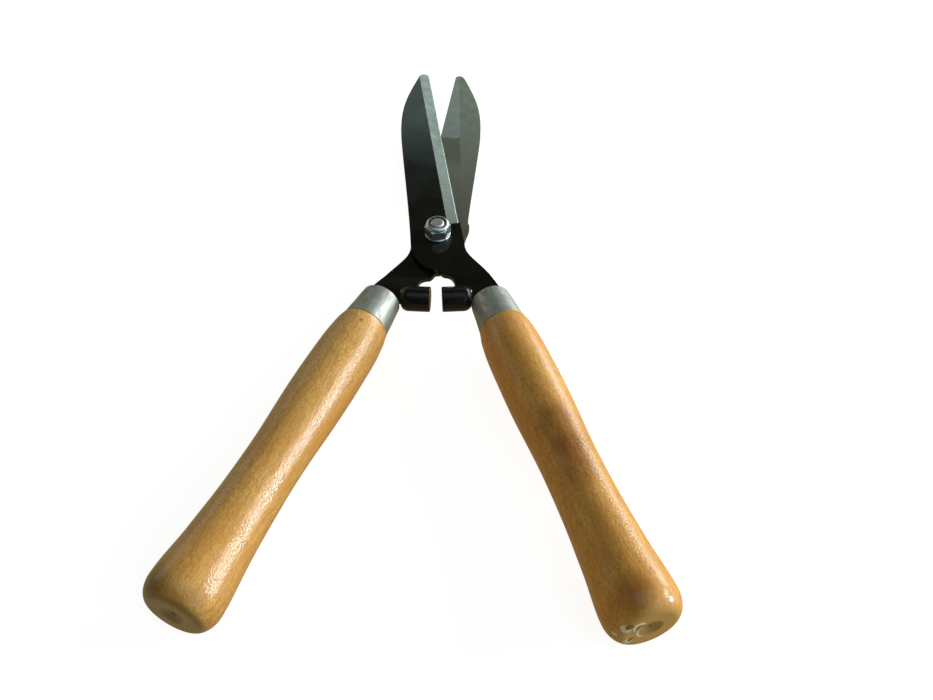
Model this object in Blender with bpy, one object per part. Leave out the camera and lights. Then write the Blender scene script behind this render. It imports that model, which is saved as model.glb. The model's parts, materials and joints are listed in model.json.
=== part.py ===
"""Hand hedge shears with turned wooden handles, modelled as separate pieces on one pivot.

Frame: metres, +Z up. The blades lie flat and point along +Y, +X is to the right, and the
origin is the centre of the pivot bolt's head, on its outer (lower) face. Each half of the tool
is drawn closed, with the pivot at its own origin, and is then turned about the pivot into the
resting pose. The two halves are the same forging; the rear one is turned over about its length.
"""

from math import atan2, cos, pi, radians, sin, tan

import bmesh
import bpy
from mathutils import Vector

MM = 0.001
GAP = 0.3 * MM

HALF_OPENING = radians(3.5)

# Blade forging
PLATE = 3.0 * MM
MATING_GAP = 0.15 * MM
EDGE_LOW = (15.1, 11.1)
EDGE_HIGH = (0.9, 196.3)
HUB_SIDES = {"right": -19.0, "left": -18.4}
BEVEL_WIDTH = 8.0 * MM
EDGE_LAND = 0.5 * MM
JOGGLE_START = -40.0 * MM
JOGGLE_END = -50.0 * MM

# Pivot
BOLT_RADIUS = 5.0 * MM
NUT_FLATS = 16.0 * MM
NUT_HEX_HEIGHT = 6.4 * MM
NUT_TURN = radians(7.0)
NUT_HEIGHT = 9.1 * MM
NUT_COLLAR_RADIUS = 7.9 * MM
NUT_DOME = 1.7 * MM
INSERT_RADIUS = 5.9 * MM
INSERT_HEIGHT = 2.4 * MM
HEAD_HEIGHT = 6.4 * MM
BOLT_END_RISE = 0.3 * MM
WASHER_RADIUS = 8.8 * MM
WASHER_HEIGHT = 1.3 * MM
PIVOT_HEIGHT = MATING_GAP + PLATE + GAP + WASHER_HEIGHT + GAP + HEAD_HEIGHT

# Buffers and the lugs inside them
BUFFER_RADIUS = 8.3 * MM
BUFFER_LENGTH = 19.5 * MM
BUFFER_Y = -59.9 * MM
LUG_HALF_WIDTH = 4.0 * MM
LUG_TIP = 3.0 * MM
LUG_CHAMFER = 1.0 * MM
NOTCH_SIDE = 9.4 * MM
ARM_INNER = 20.1 * MM
BUFFER_CLEARANCE = 0.5 * MM
BUFFER_FRONT_ROUNDING = 0.8 * MM
BUFFER_BACK_ROUNDING = 5.4 * MM

# Ferrules and handles, along the handle's axis from the ferrule's front rim.
# The two tangs were bent by hand and differ a little: centre of the front rim, and angle of the axis.
HANDLE_SEATS = {
    "right": (Vector((31.2, -62.0, 0.0)) * MM, radians(15.0)),
    "left": (Vector((31.7, -61.6, 0.0)) * MM, radians(19.2)),
}
FERRULE_LENGTH = 26.2 * MM
FERRULE_FRONT_RADIUS = 13.0 * MM
FERRULE_BACK_RADIUS = 15.4 * MM
FERRULE_WALL = 0.9 * MM
FERRULE_MOUTH = 11.4 * MM
FERRULE_CURL = 1.6 * MM
FERRULE_LIP = 0.25 * MM
FERRULE_LIP_LENGTH = 0.9 * MM
SHOULDER_HALF_WIDTH = 11.0 * MM
TANG_HALF_WIDTH = 5.0 * MM
TANG_END_HALF_WIDTH = 2.6 * MM
TANG_LENGTH = 66.0 * MM
TANG_POINT = 71.0 * MM
TANG_BORE_RADIUS = 5.8 * MM
TANG_BORE_END = 74.0 * MM
TANG_BORE_POINT = 76.5 * MM
TENON_FRONT = 1.6 * MM
HANDLE_END = 242.6 * MM
BUTT_ROUNDING = 8.0 * MM
BUTT_RADIUS = 21.7 * MM
BUTT_WIDEST = 230.0 * MM
CENTRE_HOLE_RADIUS = 1.5 * MM
CENTRE_HOLE_DEPTH = 4.0 * MM
DISH_RADIUS = 7.2 * MM
DISH_BOTTOM_RADIUS = 2.2 * MM
DISH_DEPTH = 1.5 * MM
ROUND_SEGMENTS = 32

# Grip profile behind the ferrule: distance from the front rim and radius, in millimetres
GRIP_PROFILE = (
    (26.6, 15.7), (33.0, 17.1), (50.0, 18.4), (88.0, 18.7), (135.0, 17.2), (165.0, 17.5), (200.0, 19.3),
)


def remove_everything():
    for old in list(bpy.data.objects):
        bpy.data.objects.remove(old, do_unlink=True)


def material(name, colour, roughness, metallic):
    made = bpy.data.materials.new(name)
    made.use_nodes = True
    shader = made.node_tree.nodes["Principled BSDF"]
    shader.inputs["Base Color"].default_value = (*colour, 1.0)
    shader.inputs["Roughness"].default_value = roughness
    shader.inputs["Metallic"].default_value = metallic
    return made


def piece(name, shape, finish, parent, location=(0.0, 0.0, 0.0), rotation=(0.0, 0.0, 0.0)):
    """Turns a bmesh into a named object under a parent empty, with sharp edges kept over 35 degrees."""
    bmesh.ops.recalc_face_normals(shape, faces=shape.faces)
    mesh = bpy.data.meshes.new(name)
    shape.to_mesh(mesh)
    shape.free()
    mesh.materials.append(finish)
    mesh.shade_smooth()
    mesh.set_sharp_from_angle(angle=radians(35.0))
    made = bpy.data.objects.new(name, mesh)
    bpy.context.collection.objects.link(made)
    made.parent = parent
    made.location = location
    made.rotation_euler = rotation
    return made


def empty(name, parent=None, location=(0.0, 0.0, 0.0), rotation=(0.0, 0.0, 0.0)):
    made = bpy.data.objects.new(name, None)
    bpy.context.collection.objects.link(made)
    made.parent = parent
    made.location = location
    made.rotation_euler = rotation
    return made


def bezier(start, pull_start, pull_end, end, steps):
    """Points along a cubic curve, without its last point, so that stretches join up."""
    points = []
    for step in range(steps):
        t = step / steps
        weights = ((1 - t) ** 3, 3 * t * (1 - t) ** 2, 3 * t * t * (1 - t), t ** 3)
        corners = (start, pull_start, pull_end, end)
        points.append(tuple(sum(w * c[axis] for w, c in zip(weights, corners)) for axis in (0, 1)))
    return points


def circle(centre, radius, count, phase=0.0):
    turns = [phase + 2 * pi * step / count for step in range(count)]
    return [(centre[0] + radius * cos(turn), centre[1] + radius * sin(turn)) for turn in turns]


def prism(outline, low, high):
    """A closed solid with the outline (x, y in metres) as its section, from low to high in Z."""
    shape = bmesh.new()
    base = [shape.verts.new((x, y, low)) for x, y in outline]
    floor = shape.faces.new(base)
    grown = bmesh.ops.extrude_face_region(shape, geom=[floor])
    raised = [item for item in grown["geom"] if isinstance(item, bmesh.types.BMVert)]
    bmesh.ops.translate(shape, verts=raised, vec=(0.0, 0.0, high - low))
    return shape


def turned(profile, segments=ROUND_SEGMENTS):
    """A solid of revolution about Z from (radius, z) points.

    A profile that starts off the axis closes on itself.
    """
    shape = bmesh.new()
    rings = []
    for radius, z in profile:
        if radius < 1e-7:
            rings.append([shape.verts.new((0.0, 0.0, z))])
        else:
            rings.append([shape.verts.new((x, y, z)) for x, y in circle((0.0, 0.0), radius, segments)])
    pairs = list(zip(rings, rings[1:]))
    if len(rings[0]) > 1:
        pairs.append((rings[-1], rings[0]))
    for lower, upper in pairs:
        for step in range(segments):
            following = (step + 1) % segments
            if len(lower) == 1:
                shape.faces.new((lower[0], upper[step], upper[following]))
            elif len(upper) == 1:
                shape.faces.new((lower[step], lower[following], upper[0]))
            else:
                shape.faces.new((lower[step], lower[following], upper[following], upper[step]))
    return shape


def cut_away(target, shape, location=(0.0, 0.0, 0.0), rotation=(0.0, 0.0, 0.0)):
    """Subtracts a bmesh from an object with an exact Boolean, through a hidden wire cutter."""
    finish = target.data.materials[0]
    cutter = piece(target.name + "_cutter", shape, finish, target.parent, location, rotation)
    cutter.hide_render = True
    cutter.display_type = "WIRE"
    cut = target.modifiers.new("cut_" + str(len(target.modifiers)), "BOOLEAN")
    cut.operation = "DIFFERENCE"
    cut.object = cutter


def handle_axis_point(side, along, across):
    """A point in the half's own frame, given along and across its handle's axis."""
    front, angle = HANDLE_SEATS[side]
    x = front.x + along * sin(angle) + across * cos(angle)
    y = front.y - along * cos(angle) + across * sin(angle)
    return (x, y)


def scaled(points):
    return [(x * MM, y * MM) for x, y in points]


def blade_outline():
    """Cutting edge, rounded tip and curved back, as far as the hub's left side."""
    points = [EDGE_LOW, EDGE_HIGH]
    points += bezier((0.3, 196.6), (-1.2, 198.6), (-4.6, 198.6), (-6.9, 193.1), 6)
    points += bezier((-6.9, 193.1), (-18.6, 163.2), (-23.5, 148.0), (-23.2, 112.0), 14)
    return points


def back_to_hub(side):
    """The straight part of the back down to the hub; the rear (left) half keeps a small rounded heel."""
    if side == "right":
        return bezier((-23.2, 112.0), (-22.2, 77.0), (-19.3, 32.0), (-19.0, -7.0), 8)
    points = bezier((-23.2, 112.0), (-22.2, 77.0), (-20.0, 42.0), (-19.7, 19.0), 7)
    points += bezier((-19.7, 19.0), (-19.8, 15.5), (-21.1, 15.5), (-21.1, 12.0), 4)
    points += bezier((-21.1, 12.0), (-21.1, 6.5), (-18.4, 2.0), (-18.4, -7.0), 5)
    return points


def arm_outline(side):
    """Hub underside, notch, buffer lug, tang and the arm's outer edge back up to the cutting edge."""
    hub_side = HUB_SIDES[side]
    points = bezier((hub_side, -7.0), (-19.6, -22.8), (-9.0, -35.1), (-2.2, -35.1), 8)
    points += bezier((-2.2, -35.1), (0.1, -35.1), (-0.3, -39.8), (3.2, -40.6), 6)
    points += bezier((3.2, -40.6), (6.4, -41.0), (9.2, -42.6), (9.4, -50.4), 6)
    outline = scaled(points)
    recess_top = BUFFER_Y + BUFFER_RADIUS + BUFFER_CLEARANCE
    outline.append((NOTCH_SIDE, recess_top))
    outline.append((ARM_INNER, recess_top))
    outline += lug_outline()
    outline += tang_outline(side)
    shoulder_x, shoulder_y = handle_axis_point(side, -GAP, SHOULDER_HALF_WIDTH)
    corner = (shoulder_x / MM, shoulder_y / MM)
    bend = (corner[0] - 3.4, corner[1] + 8.2)
    outer = bezier(corner, bend, (31.5, -38.3), (25.2, -29.3), 5)[1:]
    outer += bezier((25.2, -29.3), (21.6, -23.6), (17.9, -19.3), (17.9, -11.8), 6)
    outer += [(17.9, -11.8), (17.4, -3.8), (16.1, EDGE_LOW[1])]
    return outline + scaled(outer)


def lug_outline():
    """The tongue that the buffer is pushed over, with two cut corners at its tip."""
    upper = BUFFER_Y + LUG_HALF_WIDTH
    lower = BUFFER_Y - LUG_HALF_WIDTH
    tip = [(LUG_TIP + LUG_CHAMFER, upper), (LUG_TIP, upper - LUG_CHAMFER)]
    tip += [(LUG_TIP, lower + LUG_CHAMFER), (LUG_TIP + LUG_CHAMFER, lower)]
    return [(ARM_INNER, upper)] + tip + [(ARM_INNER, lower)]


def tang_outline(side):
    """The square shoulder at the ferrule and the tapered spike that goes into the handle."""
    shoulder = -GAP
    stations = (
        (shoulder, -SHOULDER_HALF_WIDTH),
        (shoulder, -TANG_HALF_WIDTH),
        (TANG_LENGTH, -TANG_END_HALF_WIDTH),
        (TANG_POINT, 0.0),
        (TANG_LENGTH, TANG_END_HALF_WIDTH),
        (shoulder, TANG_HALF_WIDTH),
        (shoulder, SHOULDER_HALF_WIDTH),
    )
    return [handle_axis_point(side, along, across) for along, across in stations]


def joggle_height(y):
    """How far the arm has stepped towards the handle's centre plane at this y."""
    share = (JOGGLE_START - y) / (JOGGLE_START - JOGGLE_END)
    return -(MATING_GAP + PLATE / 2) * min(max(share, 0.0), 1.0)


def step_arm_down(shape):
    """Lowers the plate by a straight ramp across the arm, from where it leaves the hub to the buffers."""
    for y in (JOGGLE_START, JOGGLE_END):
        everything = shape.verts[:] + shape.edges[:] + shape.faces[:]
        bmesh.ops.bisect_plane(shape, geom=everything, dist=1e-7, plane_co=(0, y, 0), plane_no=(0, 1, 0))
    for vert in shape.verts:
        vert.co.z += joggle_height(vert.co.y)


def bevel_wedge():
    """The wedge ground off the upper face along the cutting edge, from its square end past the tip."""
    edge = Vector((EDGE_HIGH[0] - EDGE_LOW[0], EDGE_HIGH[1] - EDGE_LOW[1])).length * MM
    top = MATING_GAP + PLATE
    land = MATING_GAP + EDGE_LAND
    slope = (top - land) / BEVEL_WIDTH
    outside = 4.0 * MM
    above = 2.0 * MM
    section = (
        (-BEVEL_WIDTH - above / slope, top + above),
        (outside, land - outside * slope),
        (outside, top + above),
    )
    shape = bmesh.new()
    near = [shape.verts.new((x, 0.0, z)) for x, z in section]
    far = [shape.verts.new((x, edge + 15.0 * MM, z)) for x, z in section]
    shape.faces.new(near)
    shape.faces.new(far[::-1])
    for step in range(3):
        following = (step + 1) % 3
        shape.faces.new((near[step], far[step], far[following], near[following]))
    return shape


def forged_half(name, finish, parent, side):
    """One blade with its hub, arm, buffer lug and tang, ground and bored."""
    outline = scaled(blade_outline() + back_to_hub(side)) + arm_outline(side)
    shape = prism(outline, MATING_GAP, MATING_GAP + PLATE)
    step_arm_down(shape)
    blade = piece(name, shape, finish, parent)
    tilt = atan2(EDGE_LOW[0] - EDGE_HIGH[0], EDGE_HIGH[1] - EDGE_LOW[1])
    corner = (EDGE_LOW[0] * MM, EDGE_LOW[1] * MM, 0.0)
    cut_away(blade, bevel_wedge(), corner, (0.0, 0.0, tilt))
    bore = prism(circle((0.0, 0.0), BOLT_RADIUS + GAP, ROUND_SEGMENTS), -PLATE, 3 * PLATE)
    cut_away(blade, bore)
    return blade


def grip_radius(along):
    """Radius of the turned grip, as one smooth curve through the named profile points."""
    points = [(t * MM, r * MM) for t, r in GRIP_PROFILE] + [(BUTT_WIDEST, BUTT_RADIUS)]
    slopes = []
    for index in range(len(points)):
        before = points[max(index - 1, 0)]
        after = points[min(index + 1, len(points) - 1)]
        slopes.append((after[1] - before[1]) / (after[0] - before[0]))
    slopes[-1] = 0.0
    index = max(i for i in range(len(points) - 1) if points[i][0] <= along + 1e-9)
    (start, low), (end, high) = points[index], points[index + 1]
    t = (along - start) / (end - start)
    ease = t * t * (3 - 2 * t)
    pull_start = slopes[index] * (end - start) * t * (1 - t) ** 2
    pull_end = slopes[index + 1] * (end - start) * t * t * (t - 1)
    return low + (high - low) * ease + pull_start + pull_end


def handle_profile():
    """Half section of a handle: tang bore, tenon inside the ferrule, grip, rounded butt and centre mark."""
    tenon_front = FERRULE_FRONT_RADIUS - FERRULE_WALL - GAP
    tenon_back = FERRULE_BACK_RADIUS - FERRULE_WALL - GAP
    profile = [(0.0, TANG_BORE_POINT), (TANG_BORE_RADIUS, TANG_BORE_END), (TANG_BORE_RADIUS, TENON_FRONT)]
    profile += [(tenon_front, TENON_FRONT), (tenon_back, FERRULE_LENGTH + GAP)]
    stations = 18
    start = GRIP_PROFILE[0][0] * MM
    for step in range(stations + 1):
        along = start + (BUTT_WIDEST - start) * step / stations
        profile.append((grip_radius(along), along))
    depth = HANDLE_END - BUTT_WIDEST
    for step in range(1, 9):
        turn = pi / 2 * step / 8
        radius = BUTT_RADIUS - BUTT_ROUNDING * (1 - cos(turn))
        profile.append((radius, BUTT_WIDEST + depth * sin(turn)))
    profile.append((DISH_RADIUS, HANDLE_END))
    profile.append((DISH_BOTTOM_RADIUS, HANDLE_END - DISH_DEPTH))
    profile.append((CENTRE_HOLE_RADIUS, HANDLE_END - DISH_DEPTH))
    profile.append((0.0, HANDLE_END - CENTRE_HOLE_DEPTH))
    return profile


def ferrule_profile():
    """Half section of a ferrule: a thin tapered tube with its front rim curled in and a rolled rear lip."""
    taper = (FERRULE_BACK_RADIUS - FERRULE_FRONT_RADIUS) / FERRULE_LENGTH
    curl_centre = FERRULE_FRONT_RADIUS + taper * FERRULE_CURL - FERRULE_CURL
    profile = [(FERRULE_MOUTH, FERRULE_WALL), (FERRULE_MOUTH, 0.0)]
    for step in range(4):
        turn = pi / 2 * step / 3
        profile.append((curl_centre + FERRULE_CURL * sin(turn), FERRULE_CURL - FERRULE_CURL * cos(turn)))
    lip_start = FERRULE_LENGTH - FERRULE_LIP_LENGTH
    profile.append((FERRULE_BACK_RADIUS - taper * FERRULE_LIP_LENGTH, lip_start))
    profile.append((FERRULE_BACK_RADIUS + FERRULE_LIP, lip_start + FERRULE_LIP))
    profile.append((FERRULE_BACK_RADIUS + FERRULE_LIP, FERRULE_LENGTH - FERRULE_LIP / 2))
    profile.append((FERRULE_BACK_RADIUS, FERRULE_LENGTH))
    profile.append((FERRULE_BACK_RADIUS - FERRULE_WALL, FERRULE_LENGTH))
    profile.append((FERRULE_FRONT_RADIUS - FERRULE_WALL + taper * FERRULE_WALL, FERRULE_WALL))
    return profile


def buffer(name, finish, parent):
    """A rubber stop pushed over the lug: flat meeting face, rounded back and a blind slot."""
    front = BUFFER_FRONT_ROUNDING
    back = BUFFER_BACK_ROUNDING
    start = MATING_GAP
    profile = [(0.0, start), (BUFFER_RADIUS - front, start), (BUFFER_RADIUS, start + front)]
    end = start + BUFFER_LENGTH
    for step in range(7):
        turn = pi / 2 * step / 6
        profile.append((BUFFER_RADIUS - back + back * cos(turn), end - back + back * sin(turn)))
    profile.append((0.0, end))
    made = piece(name, turned(profile), finish, parent, (0.0, BUFFER_Y, 0.0), (0.0, pi / 2, 0.0))
    half_width = LUG_HALF_WIDTH + GAP
    half_height = PLATE / 2 + GAP
    slot = ((LUG_TIP - GAP, -half_width), (ARM_INNER + PLATE, -half_width))
    slot += ((ARM_INNER + PLATE, half_width), (LUG_TIP - GAP, half_width))
    cut_away(made, prism(slot, -half_height, half_height), (0.0, BUFFER_Y, 0.0))
    return made


def washer(name, finish, parent, low):
    edge = 0.25 * MM
    inner = BOLT_RADIUS + GAP
    high = low + WASHER_HEIGHT
    profile = [(inner, low), (WASHER_RADIUS - edge, low), (WASHER_RADIUS, low + edge)]
    profile += [(WASHER_RADIUS, high - edge), (WASHER_RADIUS - edge, high), (inner, high)]
    return piece(name, turned(profile), finish, parent)


def hexagon(flats, turn=0.0):
    """Corners of a hexagon; with no turn a corner lies on +X, so that two flats face along Y."""
    return circle((0.0, 0.0), flats / 2 / cos(pi / 6), 6, turn)


def corner_cone(flats, height, facing):
    """A ring that trims a hexagon's corners at 30 degrees, on the end that faces up (+1) or down (-1)."""
    start = flats / 2 * 0.97
    reach = 4.0 * MM
    drop = reach * tan(radians(30.0))
    profile = [(start, height + facing * 1e-5), (start + reach, height - facing * drop)]
    profile += [(start + reach, height + facing * reach), (start, height + facing * reach)]
    return turned(profile)


def nut(name, finish, parent, low):
    """A lock nut: hexagon with trimmed corners, domed collar, thread bore and a seat for the insert."""
    made = piece(name, prism(hexagon(NUT_FLATS, NUT_TURN), low, low + NUT_HEX_HEIGHT), finish, parent)
    base = low + NUT_HEX_HEIGHT - 0.5 * MM
    top = low + NUT_HEIGHT
    dome = NUT_DOME
    profile = [(0.0, base), (NUT_COLLAR_RADIUS, base), (NUT_COLLAR_RADIUS, top - dome)]
    for step in range(1, 6):
        turn = pi / 2 * step / 5
        profile.append((NUT_COLLAR_RADIUS - dome + dome * cos(turn), top - dome + dome * sin(turn)))
    profile.append((0.0, top))
    collar = piece(name + "_collar", turned(profile), finish, parent)
    collar.hide_render = True
    collar.display_type = "WIRE"
    join = made.modifiers.new("join", "BOOLEAN")
    join.operation = "UNION"
    join.object = collar
    cut_away(made, corner_cone(NUT_FLATS, low, -1))
    bore = circle((0.0, 0.0), BOLT_RADIUS + GAP, ROUND_SEGMENTS)
    cut_away(made, prism(bore, low - PLATE, top + PLATE))
    seat = circle((0.0, 0.0), INSERT_RADIUS, ROUND_SEGMENTS)
    cut_away(made, prism(seat, top - INSERT_HEIGHT - GAP, top + PLATE))
    return made


def insert_ring(name, finish, parent, top):
    """The plastic ring that grips the thread, seated in the nut's collar."""
    clearance = 0.15 * MM
    edge = 0.15 * MM
    inner = BOLT_RADIUS + clearance
    outer = INSERT_RADIUS - clearance
    low = top - INSERT_HEIGHT
    high = top - 2 * clearance
    profile = [(inner, low), (outer, low), (outer, high - edge)]
    profile += [(outer - edge, high), (inner + edge, high), (inner, high - edge)]
    return piece(name, turned(profile), finish, parent)


def bolt(name, finish, parent, head_top, end):
    """A hexagon bolt, head down: trimmed head, plain shank and a rounded end above the nut."""
    made = piece(name, prism(hexagon(NUT_FLATS), head_top - HEAD_HEIGHT, head_top), finish, parent)
    crown = 0.7 * MM
    shoulder = 1.3 * MM
    start = head_top - 1.0 * MM
    profile = [(0.0, start), (BOLT_RADIUS, start), (BOLT_RADIUS, end - crown - shoulder)]
    profile += [(BOLT_RADIUS - 0.7 * MM, end - crown), (BOLT_RADIUS - 2.0 * MM, end - 0.2 * MM), (0.0, end)]
    shank = piece(name + "_shank", turned(profile), finish, parent)
    shank.hide_render = True
    shank.display_type = "WIRE"
    join = made.modifiers.new("join", "BOOLEAN")
    join.operation = "UNION"
    join.object = shank
    cut_away(made, corner_cone(NUT_FLATS, head_top - HEAD_HEIGHT, -1))
    return made


def pivot_stack(parent, steel, plastic):
    """Bolt from below, a washer under its head, a washer and the lock nut on top."""
    plate_top = MATING_GAP + PLATE
    nut_washer_low = plate_top + GAP
    nut_low = nut_washer_low + WASHER_HEIGHT + GAP
    head_washer_low = -plate_top - GAP - WASHER_HEIGHT
    washer("nut_washer", steel, parent, nut_washer_low)
    washer("head_washer", steel, parent, head_washer_low)
    nut("pivot_nut", steel, parent, nut_low)
    insert_ring("nylon_insert", plastic, parent, nut_low + NUT_HEIGHT)
    bolt("pivot_bolt", steel, parent, head_washer_low - GAP, nut_low + NUT_HEIGHT + BOLT_END_RISE)


def grip_end(side, parent, wood, tinned):
    """The ferrule and the turned handle of one half, on the handle's axis."""
    front_rim, angle = HANDLE_SEATS[side]
    turn = (pi / 2, 0.0, angle)
    piece(side + "_ferrule", turned(ferrule_profile()), tinned, parent, front_rim, turn)
    piece(side + "_handle", turned(handle_profile()), wood, parent, front_rim, turn)


def build():
    remove_everything()
    black = material("black_blade_steel", (0.012, 0.016, 0.014), 0.38, 0.6)
    zinc = material("zinc_plated_steel", (0.62, 0.63, 0.60), 0.32, 1.0)
    tinned = material("ferrule_steel", (0.46, 0.47, 0.44), 0.42, 1.0)
    wood = material("lacquered_wood", (0.62, 0.33, 0.12), 0.3, 0.0)
    rubber = material("black_rubber", (0.008, 0.008, 0.008), 0.35, 0.0)
    nylon = material("dark_nylon", (0.03, 0.03, 0.035), 0.5, 0.0)

    pivot = empty("pivot", None, (0.0, 0.0, PIVOT_HEIGHT))
    front = empty("front_half", pivot, rotation=(0.0, 0.0, HALF_OPENING))
    rear = empty("rear_half", pivot, rotation=(0.0, pi, -HALF_OPENING))

    forged_half("front_blade", black, front, "right")
    forged_half("rear_blade", black, rear, "left")
    buffer("right_buffer", rubber, front)
    buffer("left_buffer", rubber, rear)
    grip_end("right", front, wood, tinned)
    grip_end("left", rear, wood, tinned)
    pivot_stack(pivot, zinc, nylon)


build()
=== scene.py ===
"""Looks of the hand hedge shears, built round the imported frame.

Metres, in the row frame: the blades lie flat and point along +Y. Each half of the tool is drawn
closed with the pivot at its own origin, as the CAD is, and is then turned about the pivot.
A turned piece is drawn about its own Z axis.
"""

import json
from math import acos, atan2, cos, pi, radians, sin

import bmesh
import bpy
from mathutils import Matrix, Vector, noise

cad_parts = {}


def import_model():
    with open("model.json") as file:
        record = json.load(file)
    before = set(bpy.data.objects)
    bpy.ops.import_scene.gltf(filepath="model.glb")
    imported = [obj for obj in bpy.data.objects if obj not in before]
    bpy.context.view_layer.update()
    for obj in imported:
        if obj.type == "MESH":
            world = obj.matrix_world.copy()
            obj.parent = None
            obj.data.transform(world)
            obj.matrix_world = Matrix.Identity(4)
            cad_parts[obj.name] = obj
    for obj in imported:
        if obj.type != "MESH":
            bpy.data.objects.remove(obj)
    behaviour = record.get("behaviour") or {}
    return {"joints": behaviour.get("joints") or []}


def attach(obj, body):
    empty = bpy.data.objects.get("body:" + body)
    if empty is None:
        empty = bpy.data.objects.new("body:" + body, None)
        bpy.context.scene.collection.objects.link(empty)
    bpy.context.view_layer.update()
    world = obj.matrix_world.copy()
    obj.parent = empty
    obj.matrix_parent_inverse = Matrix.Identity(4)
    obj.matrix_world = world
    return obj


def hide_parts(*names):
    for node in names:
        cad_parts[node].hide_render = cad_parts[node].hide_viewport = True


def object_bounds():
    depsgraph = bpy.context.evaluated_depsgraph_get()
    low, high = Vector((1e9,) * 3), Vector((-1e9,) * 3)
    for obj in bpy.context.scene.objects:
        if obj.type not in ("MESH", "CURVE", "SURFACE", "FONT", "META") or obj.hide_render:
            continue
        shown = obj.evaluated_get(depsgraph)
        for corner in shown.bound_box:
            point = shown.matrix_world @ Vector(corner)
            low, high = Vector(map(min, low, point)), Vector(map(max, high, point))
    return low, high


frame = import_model()
CAD_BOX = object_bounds()

MM = 0.001
PIVOT = Vector(frame["joints"][0]["pos_m"])
GAP = 0.3 * MM
HALF_OPENING = radians(3.5)
FRONT = Matrix.Translation(PIVOT) @ Matrix.Rotation(HALF_OPENING, 4, "Z")
REAR = Matrix.Translation(PIVOT) @ Matrix.Rotation(-HALF_OPENING, 4, "Z") @ Matrix.Rotation(pi, 4, "Y")
HALVES = {"right": (FRONT, "front_half"), "left": (REAR, "rear_half")}

# Camera
LENS = 38.585
SENSOR = 36.0
CAMERA_PLACE = (0.0198, -0.5172, 0.47865)
CAMERA_TILT = radians(41.5)

# Middle of the tool, which the lights face
LIGHT_TARGET = (0.0, -0.1, 0.0)

# Blade forging
PLATE = 3.0 * MM
MATING_GAP = 0.15 * MM
EDGE_LOW = (15.1, 11.1)
EDGE_HIGH = (0.9, 196.3)
HUB_SIDES = {"right": -19.0, "left": -18.4}
BEVEL_WIDTH = 8.0 * MM
EDGE_LAND = 0.5 * MM
HONED_LAND = 0.30 * MM
HONED_SLOPE = 0.7
JOGGLE_START = -40.0 * MM
JOGGLE_END = -50.0 * MM
GROUND_END = -9.0 * MM
RIM = 0.35 * MM

# The joggle's ramp is told from the blade's other faces by its tilt and its area
RAMP_TILT = (radians(5.0), radians(12.0))
RAMP_AREA = 20.0 * MM * MM

# A second grinding pass polished the mating face on the edge's side of a leaning line, which crosses x = 0 at
# SECOND_PASS_Y. The strip is bright beyond a ragged reach from the pivot, and darker and browner inside it, fading
# out nearest the pivot.
SECOND_PASS_Y = 183.5 * MM
SECOND_PASS_LEAN = 0.0765
SECOND_PASS_BORDER = (-2.9 * MM, -2.1 * MM)
BROWN_BAND_REACH = 114.0 * MM
BROWN_BAND_RAGGEDNESS = 9.0 * MM
BROWN_BAND_BORDER = (4.0 * MM, 5.5 * MM)
BROWN_BAND_FADE = (-42.0 * MM, -20.0 * MM)

# Pivot: the hexagons' corners are trimmed from CORNER_TRIM of the half width on, at 30 degrees
CORNER_TRIM = 0.97
CORNER_SLOPE = 0.577
BOLT_RADIUS = 5.0 * MM
NUT_FLATS = 16.0 * MM
NUT_HEX_HEIGHT = 6.4 * MM
NUT_TURN = radians(7.0)
NUT_HEIGHT = 9.1 * MM
NUT_COLLAR_RADIUS = 7.9 * MM
INSERT_RADIUS = 5.9 * MM
INSERT_HEIGHT = 2.4 * MM
HEAD_HEIGHT = 6.4 * MM
WASHER_RADIUS = 8.8 * MM
WASHER_HEIGHT = 1.3 * MM

# Buffers and lugs
BUFFER_RADIUS = 8.3 * MM
BUFFER_LENGTH = 19.5 * MM
BUFFER_Y = -59.9 * MM
LUG_HALF_WIDTH = 4.0 * MM
LUG_TIP = 3.0 * MM
ARM_INNER = 20.1 * MM

# Ferrules and handles
HANDLE_SEATS = {
    "right": (Vector((31.2, -62.0, 0.0)) * MM, radians(15.0)),
    "left": (Vector((31.7, -61.6, 0.0)) * MM, radians(19.2)),
}
FERRULE_LENGTH = 26.2 * MM
FERRULE_FRONT_RADIUS = 13.0 * MM
FERRULE_BACK_RADIUS = 15.4 * MM
FERRULE_WALL = 0.9 * MM
FERRULE_MOUTH = 11.4 * MM
SHOULDER_HALF_WIDTH = 11.0 * MM
TANG_HALF_WIDTH = 5.0 * MM
TANG_END_HALF_WIDTH = 2.6 * MM
TANG_LENGTH = 66.0 * MM
TANG_BORE_RADIUS = 5.8 * MM
HANDLE_END = 242.6 * MM
BUTT_ROUNDING = 8.0 * MM
BUTT_RADIUS = 21.7 * MM
BUTT_WIDEST = 230.0 * MM
CENTRE_HOLE_RADIUS = 1.5 * MM
CENTRE_HOLE_DEPTH = 4.0 * MM
DISH_RADIUS = 7.2 * MM
DISH_DEPTH = 1.5 * MM
GRIP_PROFILE = (
    (26.6, 15.7), (33.0, 17.1), (50.0, 18.4), (88.0, 18.7), (135.0, 17.2), (165.0, 17.5), (200.0, 19.3),
)
ROUND = 96

# Along the handle: where the side grain turns into end grain, and where the lacquer's ripple dies away
END_GRAIN = (239.5 * MM, 242.2 * MM)
RIPPLE_FADE = (216.0 * MM, 228.0 * MM)

# Marks on the wood, in each handle's own frame and in millimetres. On the left handle y points down at rest.
# Right handle: patches darkened by hands, and a last one of painted shade where the grip flares into the butt, as
# place, reach and strength
HAND_WEAR_AND_SHADE_PATCHES = (
    ((-1.0, 17.5, 116.0), 18.0, 0.80),
    ((0.5, 17.5, 134.0), 19.0, 0.95),
    ((-0.5, 17.5, 152.0), 17.0, 0.75),
    # painted shade: a darker patch on the upper side of the grip where it flares into the butt
    ((-5.0, 18.0, 230.0), 15.0, 0.85),
)
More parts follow.
